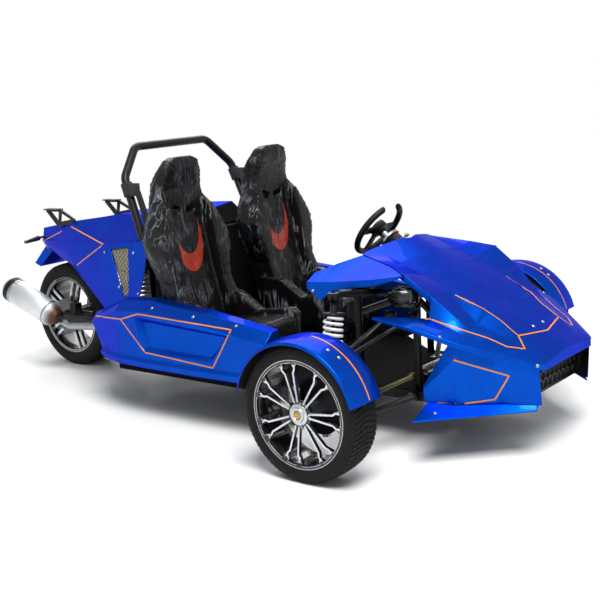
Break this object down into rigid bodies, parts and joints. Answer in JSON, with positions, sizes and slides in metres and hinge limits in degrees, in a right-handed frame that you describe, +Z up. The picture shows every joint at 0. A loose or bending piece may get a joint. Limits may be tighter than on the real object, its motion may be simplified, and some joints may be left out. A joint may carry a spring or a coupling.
{
  "type": "reverse trike",
  "caption": "Open two-seat reverse trike with steered front wheels under cycle fenders, one driven rear wheel, a roll hoop and faceted body panels.",
  "frame": {"origin": "on the ground under the middle of the bounding box", "axes": "+X forward, +Y to the vehicle's left, +Z up"},
  "size_m": [3.3719, 1.931, 1.301],
  "materials": {
    "body_blue": "metallic candy blue gloss",
    "frame_black": "satin black powder coat",
    "black_plastic": "matte",
    "seat_black": "satin",
    "webbing": "woven",
    "steel": "brushed",
    "aluminium": "satin",
    "rim_black": "gloss black",
    "tyre": "matte",
    "gold_zinc": "zinc plated",
    "spring_white": "gloss white",
    "white_plastic": "satin",
    "teal_plastic": "satin",
    "lamp_red": "gloss",
    "lamp_amber": "gloss",
    "lamp_black": "gloss",
    "engine_grey": "cast"
  },
  "bodies": {
    "chassis": {"frame_rails": "frame_black", "floor_pan": "frame_black", "front_tower": "frame_black", "rear_subframe": "frame_black", "roll_bar": "frame_black", "bulkhead": "black_plastic", "hood": "body_blue", "splitters": "body_blue", "grille": "black_plastic", "tail_cowl": "body_blue", "vent_meshes": "black_plastic", "tail_flap": "body_blue", "tail_lamp": "lamp_red", "turn_signals": "lamp_amber", "wing_brackets": "frame_black", "seat_belts": "webbing", "dash": "black_plastic", "steering_column": "aluminium", "pedals": "steel", "headlamps": "lamp_black", "engine": "engine_grey", "exhaust_pipe": "steel", "muffler": "aluminium", "swingarm": "frame_black", "rear_shock": "frame_black", "drive_chain": "steel", "radiator": "black_plastic", "lower_arms": "frame_black", "upper_arms": "frame_black", "shock_bodies": "frame_black", "shock_springs": "spring_white", "rack_housing": "aluminium", "brake_cup": "white_plastic", "coolant_bottle": "teal_plastic", "hood_wing_left": "body_blue", "nose_panel_left": "body_blue", "side_pod_left": "body_blue", "quarter_panel_left": "body_blue", "seat_left": "seat_black", "hood_wing_right": "body_blue", "nose_panel_right": "body_blue", "side_pod_right": "body_blue", "quarter_panel_right": "body_blue", "seat_right": "seat_black"},
    "steering_wheel": {"steering_wheel": "black_plastic"},
    "steering_rack": {"tie_rods": "gold_zinc"},
    "rear_wheel": {"rear_rim": "rim_black", "rear_tyre": "tyre"},
    "knuckle_left": {"knuckle_left": "steel", "fender_left": "body_blue"},
    "front_wheel_left": {"front_hub_left": "steel", "front_rim_left": "rim_black", "front_tyre_left": "tyre"},
    "knuckle_right": {"knuckle_right": "steel", "fender_right": "body_blue"},
    "front_wheel_right": {"front_hub_right": "steel", "front_rim_right": "rim_black", "front_tyre_right": "tyre"}
  },
  "joints": [
    {"name": "steer_right", "type": "hinge", "parent": "chassis", "child": "knuckle_right", "pos_m": [0.98, -0.7555, 0.282], "axis": [0, 0, 1], "range_deg": [-30, 30]},
    {"name": "front_wheel_spin_right", "type": "hinge", "parent": "knuckle_right", "child": "front_wheel_right", "pos_m": [0.98, -0.8575, 0.282], "axis": [0, 1, 0], "continuous": true},
    {"name": "steer_left", "type": "hinge", "parent": "chassis", "child": "knuckle_left", "pos_m": [0.98, 0.7555, 0.282], "axis": [0, 0, 1], "range_deg": [-30, 30]},
    {"name": "front_wheel_spin_left", "type": "hinge", "parent": "knuckle_left", "child": "front_wheel_left", "pos_m": [0.98, 0.8575, 0.282], "axis": [0, 1, 0], "continuous": true},
    {"name": "rear_wheel_spin", "type": "hinge", "parent": "chassis", "child": "rear_wheel", "pos_m": [-1.39, 0, 0.302], "axis": [0, 1, 0], "continuous": true},
    {"name": "rack_slide", "type": "slide", "parent": "chassis", "child": "steering_rack", "axis": [0, 1, 0], "range_m": [-0.056, 0.056]},
    {"name": "steering_wheel_turn", "type": "hinge", "parent": "chassis", "child": "steering_wheel", "pos_m": [0.595, 0.235, 0.832], "axis": [-0.7986, 0, 0.6018], "range_deg": [-181, 181]}
  ],
  "couplings": [
    {"joint": "steer_left", "follows": "steer_right", "ratio": 1},
    {"joint": "rack_slide", "follows": "steer_right", "m_per_rad": 0.105},
    {"joint": "steering_wheel_turn", "follows": "steer_right", "ratio": 6}
  ]
}
